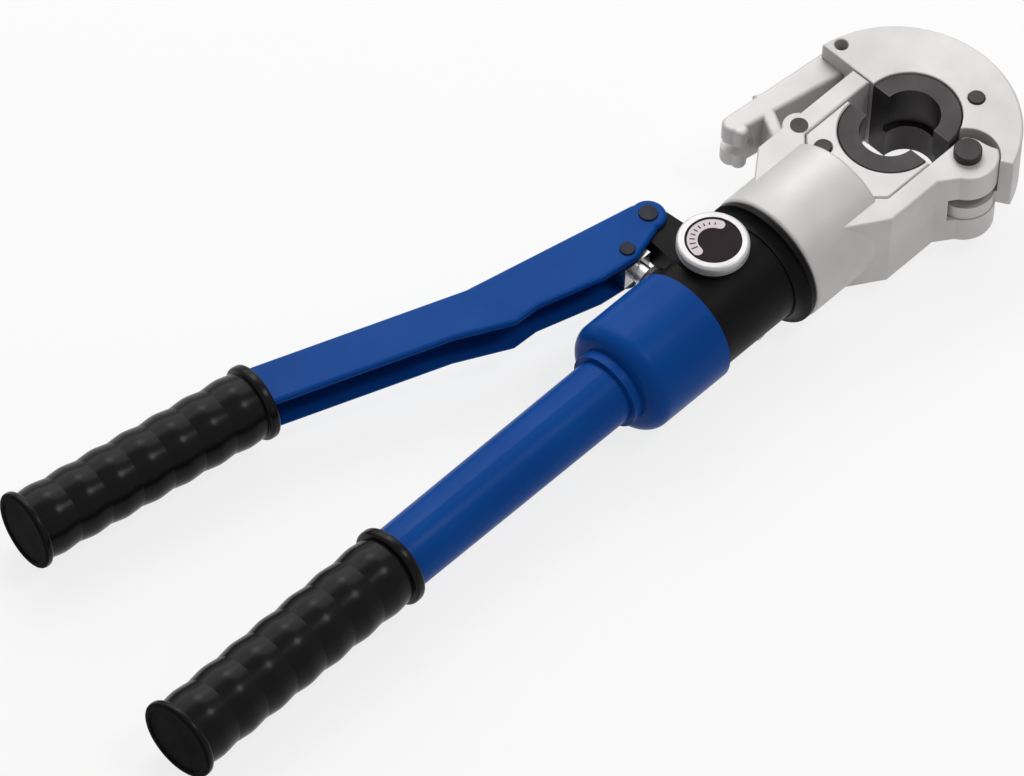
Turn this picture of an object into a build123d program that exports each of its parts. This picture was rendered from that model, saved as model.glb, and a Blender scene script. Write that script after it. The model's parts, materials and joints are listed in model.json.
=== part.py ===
from build123d import *
import os
from math import atan2, cos, degrees, hypot, radians, sin

# Inline hand-pumped hydraulic crimping tool, in millimetres.
# The origin is the centre of the upper die's bore. +X runs along the tool towards the head,
# +Y towards the moving handle, +Z is normal to the plane in which the handle and the cover swing.

# Clearances
RUN_FIT = 0.05
SEAT_FIT = 0.02
GAP = 0.3
DIE_SWEEP_GAP = 0.4
ROUND_SHARE = 0.6

# Crimping head
HEAD_HALF = 21.5
HEAD_EDGE = 1.2
SEAT_EDGE = 0.6
OPEN_GAP = 14.6
CROWN_RADIUS = 53.5
LEG_OUTER = 34.0
NECK_RADIUS = 30.8
NECK_BACK = -90.7
BARREL_FRONT = -45.5
FLARE_BACK = -70.0
FLARE_FRONT = -49.0
LATCH_FLARE_BACK = -78.0
LATCH_FLARE_FRONT = -61.0
CAVITY_BACK = -48.3
HOLDER_HALF_WIDTH = 24.2
HOLDER_RECESS = 0.3
HOLDER_CHAMFER = 7.0

# Half dies and their release buttons
DIE_RADIUS = 22.4
DIE_RECESS = 0.8
DIE_EDGE = 0.8
BORE_RADIUS = 13.0
BEAD_RADIUS = 15.0
BEAD_WIDTH = 9.0
BUTTON_REACH = 29.8
BUTTON_ANGLE = -28.5
BUTTON_RADIUS = 3.7
BUTTON_PROUD = 0.8
BUTTON_TRAVEL = 2.5
SHANK_RADIUS = 2.5
WAIST_RADIUS = 1.5
KEY_Z = 12.0
KEY_THICKNESS = 2.0
KEY_WIDTH = 7.5
KEY_TAIL = 2.4
BUTTON_SPRING_ROOM = 6.0

# Cover hinge
HINGE_X = 0.4
HINGE_Y = -32.6
HINGE_PIN_RADIUS = 6.3
HINGE_PIN_PROUD = 4.0
PIN_EDGE = 0.7
EAR_RADIUS = 14.0
EAR_FOOT_X = -20.0
EAR_BLEND_ANGLE = 210.0
SLOT_HALF = 7.2
SLOT_ROOM = 2.5
TONGUE_TOP = 0.5
TAIL_CUT_X = 2.0
TAIL_CUT_Y = -24.0
COVER_OPENING = 85.0
COVER_CORNER_ANGLE = -60.0
COVER_CORNER_MIDDLE = -135.0
COVER_CORNER_END = 180.0
CLIP_THICKNESS = 1.0
CLIP_WIDTH = 1.8

# Latch between the cover and the left leg
LATCH_X = 6.0
LATCH_Y = 47.0
LATCH_EYE_RADIUS = 7.5
LATCH_PIN_RADIUS = 3.0
LATCH_HALF = 12.5
LUG_HALF = 3.0
TAIL_X = -53.5
TAIL_Y = 55.0
TAIL_HALF_WIDTH = 5.0
TAIL_LIP_RADIUS = 3.6
TAIL_LIP_DROP = 4.2
LATCH_EDGE = 2.0
FINGER_SLOT_HALF = 3.2
FINGER_SLOT_LENGTH = 12.0
KEEPER_X = -39.8
KEEPER_Y = 29.5
KEEPER_RADIUS = 4.0
KEEPER_BOSS_RADIUS = 7.5
CLAW_THICKNESS = 6.5
CLAW_OVERLAP = 2.5
CLAW_GAP = 0.15

# Ram and swivel joint
RAM_RADIUS = 19.95
RAM_BACK = -77.0
RAM_HOLLOW_RADIUS = 9.0
RAM_WALL = 12.0
SEAL_WIDTH = 4.0
SEAL_DEPTH = 2.4
SEAL_INSET = 3.0
GUIDE_WIDTH = 2.5
GUIDE_DEPTH = 2.0
RETURN_SPRING_RADIUS = 6.0
RETURN_WIRE_RADIUS = 0.9
RETURN_TURNS = 7
ANCHOR_RADIUS = 7.0
ANCHOR_LENGTH = 3.0
ANCHOR_SHANK = 9.0
HOLDER_SCREW_RADIUS = 3.0
HOLDER_SCREW_HEAD_RADIUS = 5.0
HOLDER_SCREW_HEAD_LENGTH = 5.0
HOLDER_SCREW_LENGTH = 13.0
SPIGOT_RADIUS = 21.0
SPIGOT_LENGTH = 11.0
SWIVEL_RING_PROUD = 1.4
SWIVEL_RING_DEPTH = 1.2
SWIVEL_RING_WIDTH = 2.0
SWIVEL_RING_INSET = 3.5
O_RING_RADIUS = 1.2
O_RING_INSET = 2.6

# Pump body
BODY_RADIUS = 24.5
BODY_BACK = -142.0
COLLAR_RADIUS = 30.4
COLLAR_RIM = 3.0
COLLAR_LIP = 0.8
COLLAR_EDGE = 0.8
STUB_RADIUS = 19.0
STUB_LENGTH = 18.0
NIPPLE_RADIUS = 13.5
NIPPLE_LENGTH = 8.0
PORT_RADIUS = 1.2
RELIEF_PORT_RADIUS = 0.9

# Release valve knob
KNOB_X = -118.0
KNOB_Y = 7.7
KNOB_RADIUS = 16.0
KNOB_HEIGHT = 6.0
KNOB_EDGE = 1.5
KNOB_FACE_RADIUS = 12.5
KNOB_FACE_THICKNESS = 1.5
KNOB_FACE_RECESS = 0.5
KNOB_GROOVE_Z = 1.8
KNOB_GROOVE_WIDTH = 0.8
KNOB_GROOVE_DEPTH = 0.6
SCALE_RADIUS = 9.1
SCALE_WIDTH = 4.6
SCALE_START = 25.0
SCALE_SWEEP = 150.0
SCALE_THICKNESS = 0.25
BOSS_RADIUS = 15.0
BOSS_TOP = 25.5
BOSS_EDGE = 1.5
STEM_RADIUS = 4.0
STEM_SEAT_Z = 6.0
STEM_TIP = 3.0

# Pump plunger and moving handle
PIVOT_X = -114.5
PIVOT_Y = 48.0
PIVOT_PIN_RADIUS = 4.3
LINK_X = -135.0
LINK_Y = 41.0
LINK_PIN_RADIUS = 3.5
PIN_PROUD = 0.8
LUG_EYE_RADIUS = 7.6
LUG_ROOT_HALF = 12.0
LUG_PLATE_HALF = 7.2
PLUNGER_X = -134.5
PLUNGER_RADIUS = 4.5
PLUNGER_BOTTOM = -2.0
CHAMBER_BOTTOM = -9.0
EYE_HALF_HEIGHT = 6.0
EYE_HALF_THICKNESS = 6.0
EYE_WALL = 2.0
LINK_PLAY_X = 2.2
LINK_PLAY_Y = 0.5
GLAND_BOSS_RADIUS = 7.4
GLAND_BOSS_TOP = 26.0
GLAND_FLANGE = 2.4
GLAND_THREAD_RADIUS = 6.4
GLAND_THREAD_LENGTH = 9.0
PLUNGER_SEAL_LENGTH = 3.0
CHANNEL_HALF = 10.0
CHANNEL_WALL = 2.3
CHANNEL_EDGE = 2.0
CHEEK_EYE_RADIUS = 8.1
CHANNEL_WIDTH = 21.7
NEAR_ANGLE = 12.4
FAR_ANGLE = 20.6
BEND_X = -200.0
CHEEK_ROOT = (17.0, -17.0)
CHEEK_BELLY = (36.0, -18.7)
CHEEK_WAIST = (68.0, -16.2)
CHEEK_HUMP = (81.0, -18.4)
HUMP_BACK = 16.0
CHEEK_ROUNDING = 4.0
WEB_START = 13.0

# Grips
FIXED_GRIP_LENGTH = 132.0
FIXED_GRIP_RADIUS = 17.2
MOVING_GRIP_LENGTH = 123.0
MOVING_GRIP_RADIUS = 16.3
GRIP_WAVE = 1.2
GRIP_WAVES = 7
GRIP_COLLAR_PROUD = 1.6
GRIP_COLLAR_WIDTH = 8.0
GRIP_FLANGE_PROUD = 2.2
GRIP_FLANGE_WIDTH = 7.0
GRIP_END_WALL = 4.0
GRIP_EDGE = 2.0
MOVING_GRIP_X = -300.4
MOVING_GRIP_Y = 101.1
MOVING_GRIP_ANGLE = 9.9
CORE_RADIUS = 7.2
CORE_INSERT = 10.0
CHANNEL_INSERT = 6.5
MOUTH_PLAY = 2.6

# Fixed handle: reservoir bell, tube and bladder
BELL_RADIUS = 27.0
BELL_LENGTH = 45.0
BELL_SHOULDER = 8.0
BELL_NECK_RADIUS = 18.0
BELL_NECK_LENGTH = 5.0
TUBE_FRONT_RADIUS = 15.5
TUBE_MOUTH_RADIUS = 15.0
TUBE_BACK_RADIUS = 13.8
TUBE_WALL = 2.5
TUBE_SEAT = 16.0
FIXED_GRIP_X = -321.2
BLADDER_RADIUS = 10.4
BLADDER_WALL = 1.2
BLADDER_END_GAP = 6.0
PLUG_LENGTH = 12.0
STRAINER_RADIUS = 3.0
STRAINER_LENGTH = 7.0
STRAINER_WALL = 1.0

# Valves in the pump body
VALVE_BORE_RADIUS = 3.2
VALVE_BALL_RADIUS = 2.8
VALVE_SEAT_Z = -9.5
VALVE_PLUG_RADIUS = 4.5
VALVE_PLUG_TOP = -19.0
VALVE_PLUG_LENGTH = 3.5
SUCTION_X = -123.0
SUPPLY_Z = -7.0
OUTLET_X = -104.0
OUTLET_Y = -5.0
LOW_GALLERY_Z = -13.0
RELIEF_X = -114.0
RELIEF_BALL_RADIUS = 2.4
RELIEF_BORE_RADIUS = 2.7
RELIEF_SEAT_Y = -8.0
RELIEF_SCREW_TOP = -16.0
RELIEF_SCREW_LENGTH = 4.0
VALVE_WIRE_RADIUS = 0.3
VALVE_TURNS = 4
RELIEF_TURNS = 3
DRIVER_SLOT_WIDTH = 1.0
DRIVER_SLOT_DEPTH = 1.2

FAR = 200.0


# Shared shapes

def rod_x(radius, x0, x1, y=0.0, z=0.0):
    return Pos((x0 + x1) / 2, y, z) * Rot(0, 90, 0) * Cylinder(radius, abs(x1 - x0))


def rod_y(radius, y0, y1, x=0.0, z=0.0):
    return Pos(x, (y0 + y1) / 2, z) * Rot(90, 0, 0) * Cylinder(radius, abs(y1 - y0))


def rod_z(radius, z0, z1, x=0.0, y=0.0):
    return Pos(x, y, (z0 + z1) / 2) * Cylinder(radius, abs(z1 - z0))


def block(x0, x1, y0, y1, z0, z1):
    return Pos((x0 + x1) / 2, (y0 + y1) / 2, (z0 + z1) / 2) * Box(x1 - x0, y1 - y0, z1 - z0)


def slab(sketch, half):
    return extrude(sketch, amount=half, both=True)


def polygon(*points):
    return make_face(Polyline(*points, close=True))


def turned(*profile):
    """Solid of revolution about X, from points (x, radius)."""
    return revolve(Plane.XZ * make_face(Polyline(*profile, close=True)), axis=Axis.X)


def polar(x, y, radius, angle):
    return (x + radius * cos(radians(angle)), y + radius * sin(radians(angle)))


def face_edges(body):
    """Edges round the highest and the lowest face."""
    faces = body.faces().sort_by(Axis.Z)
    return faces[-1].edges() + faces[0].edges()


def coil(mean_radius, wire_radius, length, turns):
    """Open coil along +Z that fits between two flat faces, from z = 0 to z = length."""
    rise = length - 2 * wire_radius
    path = Helix(pitch=rise / turns, height=rise, radius=mean_radius)
    wire = sweep(Plane(path @ 0, z_dir=path % 0) * Circle(wire_radius), path=path)
    return Pos(0, 0, wire_radius) * wire


# Half dies, in the frame of the die: the bore's centre is the origin and the seat lies towards +X

SEAT_RADIUS = DIE_RADIUS + SEAT_FIT
DIE_HALF = HEAD_HALF - DIE_RECESS
BUTTON_AT = polar(0, 0, BUTTON_REACH, BUTTON_ANGLE)
KEY_TOP = KEY_Z + KEY_THICKNESS
WAIST_BOTTOM = KEY_TOP + GAP
HEAD_BOTTOM = WAIST_BOTTOM + BUTTON_TRAVEL + GAP
SHANK_BOTTOM = KEY_Z - BUTTON_TRAVEL - 2 * GAP
BUTTON_WELL = SHANK_BOTTOM - BUTTON_SPRING_ROOM


def key_plate(half_width, z0, z1, tail):
    plate = block(DIE_RADIUS - 2 * DIE_EDGE, BUTTON_REACH + tail, -half_width, half_width, z0, z1)
    return Rot(0, 0, BUTTON_ANGLE) * plate


def half_die():
    ring = Cylinder(DIE_RADIUS, 2 * DIE_HALF)
    ring = chamfer(ring.edges().filter_by(GeomType.CIRCLE), DIE_EDGE)
    ring += key_plate(KEY_WIDTH / 2, KEY_Z, KEY_TOP, KEY_TAIL)
    ring -= Cylinder(BORE_RADIUS, FAR)
    ring -= Cylinder(BEAD_RADIUS, BEAD_WIDTH)
    ring -= rod_z(SHANK_RADIUS + RUN_FIT, KEY_Z - GAP, KEY_TOP + GAP, *BUTTON_AT)
    throat = block(BUTTON_REACH, BUTTON_REACH + 2 * KEY_TAIL, -WAIST_RADIUS - GAP, WAIST_RADIUS + GAP,
                   KEY_Z - GAP, KEY_TOP + GAP)
    ring -= Rot(0, 0, BUTTON_ANGLE) * throat
    return ring & block(0, FAR, -FAR, FAR, -FAR, FAR)


def die_pocket():
    """What a half die, its key and its release button leave open in the piece that carries them."""
    pocket = Cylinder(SEAT_RADIUS, FAR)
    pocket += key_plate(KEY_WIDTH / 2 + GAP, KEY_Z - GAP, KEY_TOP + GAP, KEY_TAIL + GAP)
    pocket += rod_z(SHANK_RADIUS + RUN_FIT, BUTTON_WELL, KEY_TOP, *BUTTON_AT)
    pocket += rod_z(BUTTON_RADIUS + RUN_FIT, WAIST_BOTTOM, FAR, *BUTTON_AT)
    return pocket


def die_button():
    button = rod_z(BUTTON_RADIUS, HEAD_BOTTOM, HEAD_HALF + BUTTON_PROUD, *BUTTON_AT)
    top = button.faces().sort_by(Axis.Z)[-1]
    button = fillet(top.edges(), BUTTON_PROUD * ROUND_SHARE)
    button += rod_z(WAIST_RADIUS, WAIST_BOTTOM, HEAD_BOTTOM, *BUTTON_AT)
    button += rod_z(SHANK_RADIUS, SHANK_BOTTOM, WAIST_BOTTOM, *BUTTON_AT)
    return button


def button_spring():
    spring = coil(SHANK_RADIUS - 2 * VALVE_WIRE_RADIUS, VALVE_WIRE_RADIUS, BUTTON_SPRING_ROOM, VALVE_TURNS)
    return Pos(*BUTTON_AT, BUTTON_WELL) * spring


# Places of the two die stations

UPPER = Location((0, 0, 0))
LOWER = Location((-OPEN_GAP, 0, 0), (0, 0, 180))
CROWN_X = -OPEN_GAP / 2
RAM_STROKE = OPEN_GAP - GAP
LEG_INNER = HOLDER_HALF_WIDTH + GAP
TONGUE_HALF = SLOT_HALF - GAP
TONGUE_RADIUS = EAR_RADIUS - 2 * GAP
EAR_RELIEF = EAR_RADIUS + DIE_SWEEP_GAP
SWEEP_RADIUS = DIE_RADIUS + DIE_SWEEP_GAP
HINGE_REACH = hypot(HINGE_X, HINGE_Y)
HINGE_REST_ANGLE = degrees(atan2(-HINGE_Y, -HINGE_X))
HOLDER_BACK = CAVITY_BACK + GAP
HOLDER_FACE = HEAD_HALF - HOLDER_RECESS


def at_hinge(sketch):
    return Pos(HINGE_X, HINGE_Y) * sketch


# Cover with its hinge tongue and latch lug

def latch_room():
    """Space in the cover for the two cheeks of the latch and their swing."""
    reach = LATCH_EYE_RADIUS + DIE_SWEEP_GAP
    room = Pos(LATCH_X, LATCH_Y) * Circle(reach)
    room += Pos(LATCH_X - FAR / 2, LATCH_Y - reach + FAR / 2) * Rectangle(FAR, FAR)
    cheeks = slab(room, LATCH_HALF + GAP)
    shoulder = Pos(LATCH_X - FAR / 2, LATCH_Y + FAR / 2) * Rectangle(FAR, FAR)
    shoulder -= Pos(LATCH_X, LATCH_Y) * Circle(LATCH_EYE_RADIUS)
    return cheeks - slab(room, LUG_HALF) + slab(shoulder, LUG_HALF + GAP)


def cover():
    crown = Pos(CROWN_X, 0) * Circle(CROWN_RADIUS)
    front_half = Pos(FAR / 2, 0) * Rectangle(FAR, 2 * FAR)
    moon = crown & front_half
    body = slab(moon, HEAD_HALF)
    rim = body.edges().filter_by(GeomType.CIRCLE)
    body = fillet(rim, HEAD_EDGE)
    ears = at_hinge(Circle(EAR_RELIEF))
    corner = at_hinge(polygon((0, 0), polar(0, 0, FAR, COVER_CORNER_ANGLE),
                              polar(0, 0, FAR, COVER_CORNER_MIDDLE), polar(0, 0, FAR, COVER_CORNER_END)))
    body -= slab(ears + corner, FAR) - slab(ears + corner, TONGUE_HALF)
    body -= slab(corner, FAR) - slab(at_hinge(Circle(TONGUE_RADIUS)), FAR)
    body += slab(at_hinge(Circle(TONGUE_RADIUS)), TONGUE_HALF)
    body -= block(-FAR, 0, -LEG_INNER, FAR, -FAR, FAR)
    body += slab(Pos(LATCH_X, LATCH_Y) * Circle(LATCH_EYE_RADIUS), LUG_HALF)
    body -= latch_room()
    body -= UPPER * die_pocket()
    body -= slab(at_hinge(Circle(HINGE_PIN_RADIUS + RUN_FIT)), FAR)
    body -= slab(Pos(LATCH_X, LATCH_Y) * Circle(LATCH_PIN_RADIUS + SEAT_FIT), FAR)
    body = fillet(face_edges(body), SEAT_EDGE)
    body -= slab(ears, SLOT_HALF) & block(-FAR, FAR, -FAR, FAR, TONGUE_TOP, FAR)
    return body - block(TAIL_CUT_X, FAR, -FAR, TAIL_CUT_Y, -FAR, -TONGUE_HALF)


# Latch lever: two cheeks at the cover's lug, a solid arm with a claw behind the keeper pin, and a forked tail

ESCAPE = (-(KEEPER_Y - HINGE_Y) - (KEEPER_Y - LATCH_Y), (KEEPER_X - HINGE_X) + (KEEPER_X - LATCH_X))
ESCAPE_X = ESCAPE[0] / hypot(*ESCAPE)
ESCAPE_Y = ESCAPE[1] / hypot(*ESCAPE)


def claw_point(along, back):
    """Point on the claw: along the keeper's way out, and back from the bearing face."""
    reach = KEEPER_RADIUS + CLAW_GAP + back
    x = KEEPER_X + reach * ESCAPE_Y + along * ESCAPE_X
    y = KEEPER_Y - reach * ESCAPE_X + along * ESCAPE_Y
    return (x, y)


def latch_lever():
    slope = degrees(atan2(TAIL_Y - LATCH_Y, TAIL_X - LATCH_X))
    eye = Pos(LATCH_X, LATCH_Y) * Circle(LATCH_EYE_RADIUS)
    arm = polygon(polar(LATCH_X, LATCH_Y, LATCH_EYE_RADIUS, slope + 90),
                  polar(LATCH_X, LATCH_Y, LATCH_EYE_RADIUS, slope - 90),
                  polar(TAIL_X, TAIL_Y, TAIL_HALF_WIDTH, slope - 90),
                  polar(TAIL_X, TAIL_Y, TAIL_HALF_WIDTH, slope + 90))
    tail = Pos(TAIL_X, TAIL_Y) * Circle(TAIL_HALF_WIDTH)
    tail += Pos(TAIL_X, TAIL_Y - TAIL_LIP_DROP) * Circle(TAIL_LIP_RADIUS)
    root = (KEEPER_Y - TAIL_Y) / ESCAPE_Y
    claw = polygon(claw_point(-root, 0), claw_point(CLAW_OVERLAP, 0),
                   claw_point(CLAW_OVERLAP, CLAW_THICKNESS), claw_point(-root, CLAW_THICKNESS))
    lever = slab(eye + arm + tail + claw, LATCH_HALF)
    lever = fillet(face_edges(lever), LATCH_EDGE)
    lug_slot = LATCH_EYE_RADIUS + 2 * GAP
    lever -= block(LATCH_X - lug_slot, FAR, -FAR, FAR, -LUG_HALF - GAP, LUG_HALF + GAP)
    tail_end = TAIL_X - TAIL_HALF_WIDTH
    lever -= block(tail_end - GAP, tail_end + FINGER_SLOT_LENGTH, -FAR, FAR,
                   -FINGER_SLOT_HALF, FINGER_SLOT_HALF)
    lever -= slab(Pos(LATCH_X, LATCH_Y) * Circle(LATCH_PIN_RADIUS + RUN_FIT), FAR)
    return lever


def latch_pivot_pin():
    return rod_z(LATCH_PIN_RADIUS, -LATCH_HALF, LATCH_HALF, LATCH_X, LATCH_Y)


# Yoke: swivel neck, ram barrel, two legs and the hinge ears

BODY_FRONT = NECK_BACK - GAP
SPIGOT_FRONT = BODY_FRONT + SPIGOT_LENGTH
SOCKET_FRONT = SPIGOT_FRONT + GAP
SWIVEL_RING_X = BODY_FRONT + SWIVEL_RING_INSET
SWIVEL_RING_RADIUS = SPIGOT_RADIUS + SWIVEL_RING_PROUD
GUIDE_FRONT = CAVITY_BACK - GUIDE_WIDTH
FLAT_HALF = (NECK_RADIUS ** 2 - HEAD_HALF ** 2) ** 0.5 - HEAD_EDGE
NECK_EDGE = 2.0


def holder_plan(back, half_width):
    """Outline of the die holder or of the cavity that it slides in, open towards +X."""
    front = (FAR, half_width)
    side = (back + HOLDER_CHAMFER, half_width)
    heel = (back, half_width - HOLDER_CHAMFER)
    return polygon(front, side, heel, (heel[0], -heel[1]), (side[0], -side[1]), (front[0], -front[1]))


def die_sweep():
    """Plan of all that the upper die passes over while the cover opens."""
    open_angle = HINGE_REST_ANGLE - COVER_OPENING
    middle_angle = (HINGE_REST_ANGLE + open_angle) / 2
    fan = polygon((0, 0), polar(0, 0, FAR, open_angle), polar(0, 0, FAR, middle_angle),
                  polar(0, 0, FAR, HINGE_REST_ANGLE))
    fan -= Circle(HINGE_REACH - SWEEP_RADIUS)
    end = Pos(*polar(0, 0, HINGE_REACH, open_angle)) * Circle(SWEEP_RADIUS)
    return at_hinge(fan + end) + Circle(SWEEP_RADIUS)


def head_plan():
    sides = polygon((FLARE_BACK, -FLAT_HALF), (LATCH_FLARE_BACK, FLAT_HALF), (LATCH_FLARE_FRONT, LEG_OUTER),
                    (-GAP, LEG_OUTER), (-GAP, -LEG_OUTER), (FLARE_FRONT, -LEG_OUTER))
    blend = polygon((EAR_FOOT_X, -LEG_OUTER), polar(HINGE_X, HINGE_Y, EAR_RADIUS, EAR_BLEND_ANGLE),
                    (HINGE_X, HINGE_Y), (EAR_FOOT_X, -LEG_INNER))
    keeper_boss = Pos(KEEPER_X, KEEPER_Y) * Circle(KEEPER_BOSS_RADIUS)
    return sides + blend + keeper_boss + at_hinge(Circle(EAR_RADIUS))


def yoke():
    plan = head_plan() - die_sweep() - holder_plan(CAVITY_BACK, LEG_INNER)
    body = slab(plan, HEAD_HALF)
    body = fillet(face_edges(body), HEAD_EDGE)
    barrel = rod_x(NECK_RADIUS, NECK_BACK, BARREL_FRONT)
    barrel = fillet(barrel.edges().filter_by(GeomType.CIRCLE), NECK_EDGE)
    body += barrel - slab(holder_plan(CAVITY_BACK, LEG_INNER), HEAD_HALF)
    hinge_slot = at_hinge(Circle(EAR_RADIUS + SLOT_ROOM) + Pos(FAR / 2, 0) * Rectangle(FAR, 2 * EAR_RADIUS))
    body -= slab(hinge_slot, SLOT_HALF)
    claw_back = claw_point(0, CLAW_THICKNESS)[0] - 2 * CLAW_OVERLAP
    claw_front = KEEPER_X + KEEPER_BOSS_RADIUS
    claw_slot = LATCH_HALF + 2 * GAP
    body -= block(claw_back, claw_front, LEG_INNER, FAR, -claw_slot, claw_slot)
    body -= block(LATCH_FLARE_BACK, claw_back, NECK_RADIUS + GAP, FAR, -claw_slot, claw_slot)
    body -= slab(at_hinge(Circle(HINGE_PIN_RADIUS + SEAT_FIT)), FAR)
    body -= slab(Pos(KEEPER_X, KEEPER_Y) * Circle(KEEPER_RADIUS + SEAT_FIT), FAR)
    body -= rod_x(SPIGOT_RADIUS + RUN_FIT, NECK_BACK, SOCKET_FRONT)
    body -= rod_x(RAM_RADIUS + RUN_FIT, SOCKET_FRONT, CAVITY_BACK + HOLDER_CHAMFER)
    body -= rod_x(SWIVEL_RING_RADIUS + GAP, SWIVEL_RING_X - GAP, SWIVEL_RING_X + SWIVEL_RING_WIDTH + GAP)
    body -= rod_x(RAM_RADIUS + GUIDE_DEPTH, GUIDE_FRONT, CAVITY_BACK)
    return body


def ram_guide_ring():
    ring = rod_x(RAM_RADIUS + GUIDE_DEPTH - SEAT_FIT, GUIDE_FRONT, CAVITY_BACK)
    return ring - rod_x(RAM_RADIUS + RUN_FIT, GUIDE_FRONT, CAVITY_BACK)


def retaining_clip(pin_radius):
    """Ring below the origin that grips a groove in a pin along Z."""
    clip = Cylinder(pin_radius + CLIP_WIDTH, CLIP_THICKNESS) - Cylinder(pin_radius - CLIP_WIDTH / 2, FAR)
    return Pos(0, 0, -CLIP_THICKNESS / 2 - GAP) * clip


def clipped_pin(radius, half, proud):
    """Pin along Z through plates that end at +half and -half, with a clip groove below the lower one."""
    tail = -half - GAP - 2 * CLIP_THICKNESS - GAP
    pin = rod_z(radius, tail, half + proud)
    top = pin.faces().sort_by(Axis.Z)[-1]
    pin = fillet(top.edges(), min(proud * ROUND_SHARE, PIN_EDGE))
    groove_top = -half - GAP + SEAT_FIT
    groove_bottom = -half - GAP - CLIP_THICKNESS - SEAT_FIT
    groove = rod_z(radius + GAP, groove_bottom, groove_top)
    return pin - (groove - rod_z(radius - CLIP_WIDTH / 2 - SEAT_FIT, groove_bottom, groove_top))


def hinge_pin():
    return Pos(HINGE_X, HINGE_Y, 0) * clipped_pin(HINGE_PIN_RADIUS, HEAD_HALF, HINGE_PIN_PROUD)


def hinge_pin_clip():
    return Pos(HINGE_X, HINGE_Y, -HEAD_HALF) * retaining_clip(HINGE_PIN_RADIUS)


def keeper_pin():
    return rod_z(KEEPER_RADIUS, -HEAD_HALF, HEAD_HALF + HOLDER_RECESS, KEEPER_X, KEEPER_Y)


# Ram with its die holder

def ram_piston():
    hollow_end = HOLDER_BACK - RAM_WALL
    body = rod_x(RAM_RADIUS, RAM_BACK, HOLDER_BACK)
    body -= rod_x(RAM_HOLLOW_RADIUS, RAM_BACK, hollow_end)
    body -= seal_ring(RAM_RADIUS + GAP, SEAT_FIT)
    body -= holder_screw_shank(SEAT_FIT)
    return body


def seal_ring(outer_radius, play):
    x0 = RAM_BACK + SEAL_INSET - play
    x1 = RAM_BACK + SEAL_INSET + SEAL_WIDTH + play
    return rod_x(outer_radius, x0, x1) - rod_x(RAM_RADIUS - SEAL_DEPTH - play, x0, x1)


def piston_seal():
    return seal_ring(RAM_RADIUS, 0.0)


SCREW_HEAD_FRONT = -OPEN_GAP - DIE_RADIUS - GAP
SCREW_HEAD_BACK = SCREW_HEAD_FRONT - HOLDER_SCREW_HEAD_LENGTH


def holder_screw_shank(play):
    return rod_x(HOLDER_SCREW_RADIUS + play, SCREW_HEAD_BACK - HOLDER_SCREW_LENGTH - play, SCREW_HEAD_BACK)


def holder_screw():
    screw = rod_x(HOLDER_SCREW_HEAD_RADIUS, SCREW_HEAD_BACK, SCREW_HEAD_FRONT) + holder_screw_shank(0.0)
    socket = Pos(SCREW_HEAD_FRONT, 0, 0) * Rot(0, 90, 0) * RegularPolygon(HOLDER_SCREW_RADIUS, 6)
    return screw - extrude(socket, amount=-HOLDER_SCREW_HEAD_LENGTH / 2)


def die_holder():
    plan = holder_plan(HOLDER_BACK, HOLDER_HALF_WIDTH) & (Pos(-OPEN_GAP - FAR, 0) * Rectangle(2 * FAR, FAR))
    body = slab(plan, HOLDER_FACE)
    body -= LOWER * die_pocket()
    body -= rod_x(HOLDER_SCREW_HEAD_RADIUS + SEAT_FIT, SCREW_HEAD_BACK, -OPEN_GAP)
    body -= holder_screw_shank(SEAT_FIT)
    return chamfer(face_edges(body), SEAT_EDGE)


def ram_return_spring():
    start = SPIGOT_FRONT + ANCHOR_LENGTH
    length = HOLDER_BACK - RAM_WALL - start
    spring = coil(RETURN_SPRING_RADIUS, RETURN_WIRE_RADIUS, length, RETURN_TURNS)
    return Pos(start, 0, 0) * Rot(0, 90, 0) * spring


# Swivel joint on the pump body's spigot

def spring_anchor():
    disc = rod_x(ANCHOR_RADIUS, SPIGOT_FRONT, SPIGOT_FRONT + ANCHOR_LENGTH)
    return disc + anchor_shank(0.0)


def anchor_shank(play):
    return rod_x(HOLDER_SCREW_RADIUS + play, SPIGOT_FRONT - ANCHOR_SHANK - play, SPIGOT_FRONT)


def swivel_retaining_ring():
    x0 = SWIVEL_RING_X
    x1 = x0 + SWIVEL_RING_WIDTH
    ring = rod_x(SWIVEL_RING_RADIUS, x0, x1)
    ring -= rod_x(SPIGOT_RADIUS - SWIVEL_RING_DEPTH + SEAT_FIT, x0, x1)
    split = block(x0, x1, 0, FAR, -SWIVEL_RING_WIDTH / 2, SWIVEL_RING_WIDTH / 2)
    return ring - split


def swivel_groove():
    x0 = SWIVEL_RING_X - SEAT_FIT
    x1 = SWIVEL_RING_X + SWIVEL_RING_WIDTH + SEAT_FIT
    return rod_x(SPIGOT_RADIUS + GAP, x0, x1) - rod_x(SPIGOT_RADIUS - SWIVEL_RING_DEPTH, x0, x1)


O_RING_X = SPIGOT_FRONT - O_RING_INSET


def swivel_seal():
    ring = Torus(SPIGOT_RADIUS - O_RING_RADIUS, O_RING_RADIUS)
    return Pos(O_RING_X, 0, 0) * Rot(0, 90, 0) * ring


def o_ring_groove():
    x0 = O_RING_X - O_RING_RADIUS - SEAT_FIT
    x1 = O_RING_X + O_RING_RADIUS + SEAT_FIT
    bottom = SPIGOT_RADIUS - 2 * O_RING_RADIUS - SEAT_FIT
    return rod_x(SPIGOT_RADIUS + GAP, x0, x1) - rod_x(bottom, x0, x1)


def swivel_collar():
    cove = COLLAR_RADIUS - BODY_RADIUS - COLLAR_LIP
    back = BODY_FRONT - COLLAR_RIM - cove
    ring = rod_x(COLLAR_RADIUS, back, BODY_FRONT)
    ring = fillet(ring.edges().filter_by(GeomType.CIRCLE).sort_by(Axis.X)[-1], COLLAR_EDGE)
    ring -= Pos(back, 0, 0) * Rot(0, 90, 0) * Torus(COLLAR_RADIUS, cove)
    return ring - rod_x(BODY_RADIUS + SEAT_FIT, back, BODY_FRONT)


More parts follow.
